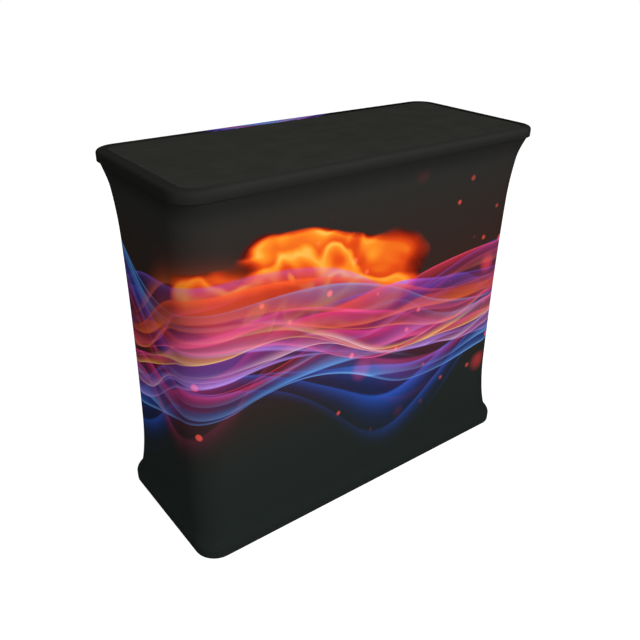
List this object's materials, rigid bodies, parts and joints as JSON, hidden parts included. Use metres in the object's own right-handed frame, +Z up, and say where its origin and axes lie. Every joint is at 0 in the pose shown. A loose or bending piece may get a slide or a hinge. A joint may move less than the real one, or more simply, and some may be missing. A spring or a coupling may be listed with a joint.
{
  "type": "exhibition counter",
  "caption": "Free-standing spring-up exhibition counter: rounded worktop and base on folding knee legs under a waisted printed stretch cover, open at the rear for storage.",
  "frame": {"origin": "centre of the footprint, on the floor under the feet", "axes": "+X along the counter, +Y towards the open rear (the printed front faces -Y), +Z up"},
  "size_m": [1.07, 0.45, 0.95],
  "materials": {
    "board": "fibreboard with a plain black laminate",
    "printed_cloth": "printed matt stretch knit, unprinted and pale inside",
    "black_cloth": "charcoal black matt stretch knit",
    "binding": "black woven edge tape",
    "hook_tape": "black hook tape",
    "foot_rubber": "black matt rubber",
    "screw_steel": "zinc plated",
    "pin_steel": "bright turned steel",
    "spring_steel": "blued spring strip",
    "bracket_steel": "zinc plated sheet",
    "aluminium_tube": "natural anodised",
    "moulded_fitting": "black glass-filled nylon"
  },
  "bodies": {
    "base": {"base_board": "board", "feet": "foot_rubber", "foot_screws": "screw_steel", "hem_grip_strips": "hook_tape", "cover_sleeve": "printed_cloth", "cover_base_band": "black_cloth", "opening_binding": "binding", "base_bracket_screws": "screw_steel", "base_pivot_pins": "pin_steel", "base_bracket_left_front": "bracket_steel", "base_bracket_left_rear": "bracket_steel", "base_bracket_right_front": "bracket_steel", "base_bracket_right_rear": "bracket_steel"},
    "top": {"worktop_board": "board", "cover_top": "black_cloth", "top_bracket_screws": "screw_steel", "top_pivot_pins": "pin_steel", "top_bracket_left_front": "bracket_steel", "top_bracket_left_rear": "bracket_steel", "top_bracket_right_front": "bracket_steel", "top_bracket_right_rear": "bracket_steel"},
    "lower_left": {"lower_leg_tube_left_front": "aluminium_tube", "lower_leg_tube_left_rear": "aluminium_tube", "lower_end_fitting_left_front": "moulded_fitting", "lower_end_fitting_left_rear": "moulded_fitting", "knee_fork_left_front": "moulded_fitting", "knee_fork_left_rear": "moulded_fitting", "knee_springs_left": "spring_steel", "spring_caps_left": "moulded_fitting", "lower_cross_bar_left": "aluminium_tube", "lower_bar_screws_left": "screw_steel"},
    "upper_left": {"upper_leg_tube_left_front": "aluminium_tube", "upper_leg_tube_left_rear": "aluminium_tube", "upper_end_fitting_left_front": "moulded_fitting", "upper_end_fitting_left_rear": "moulded_fitting", "knee_tongue_left_front": "moulded_fitting", "knee_tongue_left_rear": "moulded_fitting", "knee_pins_left": "pin_steel", "upper_cross_bar_left": "aluminium_tube", "upper_bar_screws_left": "screw_steel"},
    "lower_right": {"lower_leg_tube_right_front": "aluminium_tube", "lower_leg_tube_right_rear": "aluminium_tube", "lower_end_fitting_right_front": "moulded_fitting", "lower_end_fitting_right_rear": "moulded_fitting", "knee_fork_right_front": "moulded_fitting", "knee_fork_right_rear": "moulded_fitting", "knee_springs_right": "spring_steel", "spring_caps_right": "moulded_fitting", "lower_cross_bar_right": "aluminium_tube", "lower_bar_screws_right": "screw_steel"},
    "upper_right": {"upper_leg_tube_right_front": "aluminium_tube", "upper_leg_tube_right_rear": "aluminium_tube", "upper_end_fitting_right_front": "moulded_fitting", "upper_end_fitting_right_rear": "moulded_fitting", "knee_tongue_right_front": "moulded_fitting", "knee_tongue_right_rear": "moulded_fitting", "knee_pins_right": "pin_steel", "upper_cross_bar_right": "aluminium_tube", "upper_bar_screws_right": "screw_steel"}
  },
  "joints": [
    {"name": "fold", "type": "hinge", "parent": "base", "child": "lower_left", "pos_m": [-0.4615, 0, 0.0435], "axis": [0, 1, 0], "range_deg": [0, 90], "stiffness_Nm_per_rad": 40, "springref_deg": -17.19, "deforming": ["cover_sleeve", "opening_binding"]},
    {"name": "left_knee", "type": "hinge", "parent": "lower_left", "child": "upper_left", "pos_m": [-0.475, 0, 0.47685], "axis": [0, 1, 0], "range_deg": [-180, 0]},
    {"name": "worktop_level", "type": "hinge", "parent": "upper_left", "child": "top", "pos_m": [-0.4615, 0, 0.9102], "axis": [0, 1, 0], "range_deg": [0, 90]},
    {"name": "right_fold", "type": "hinge", "parent": "base", "child": "lower_right", "pos_m": [0.4615, 0, 0.0435], "axis": [0, 1, 0], "range_deg": [-90, 0]},
    {"name": "right_knee", "type": "hinge", "parent": "lower_right", "child": "upper_right", "pos_m": [0.475, 0, 0.47685], "axis": [0, 1, 0], "range_deg": [0, 180]}
  ],
  "couplings": [
    {"joint": "left_knee", "follows": "fold", "ratio": -2},
    {"joint": "worktop_level", "follows": "fold", "ratio": 1},
    {"joint": "right_fold", "follows": "fold", "ratio": -1},
    {"joint": "right_knee", "follows": "fold", "ratio": 2}
  ]
}
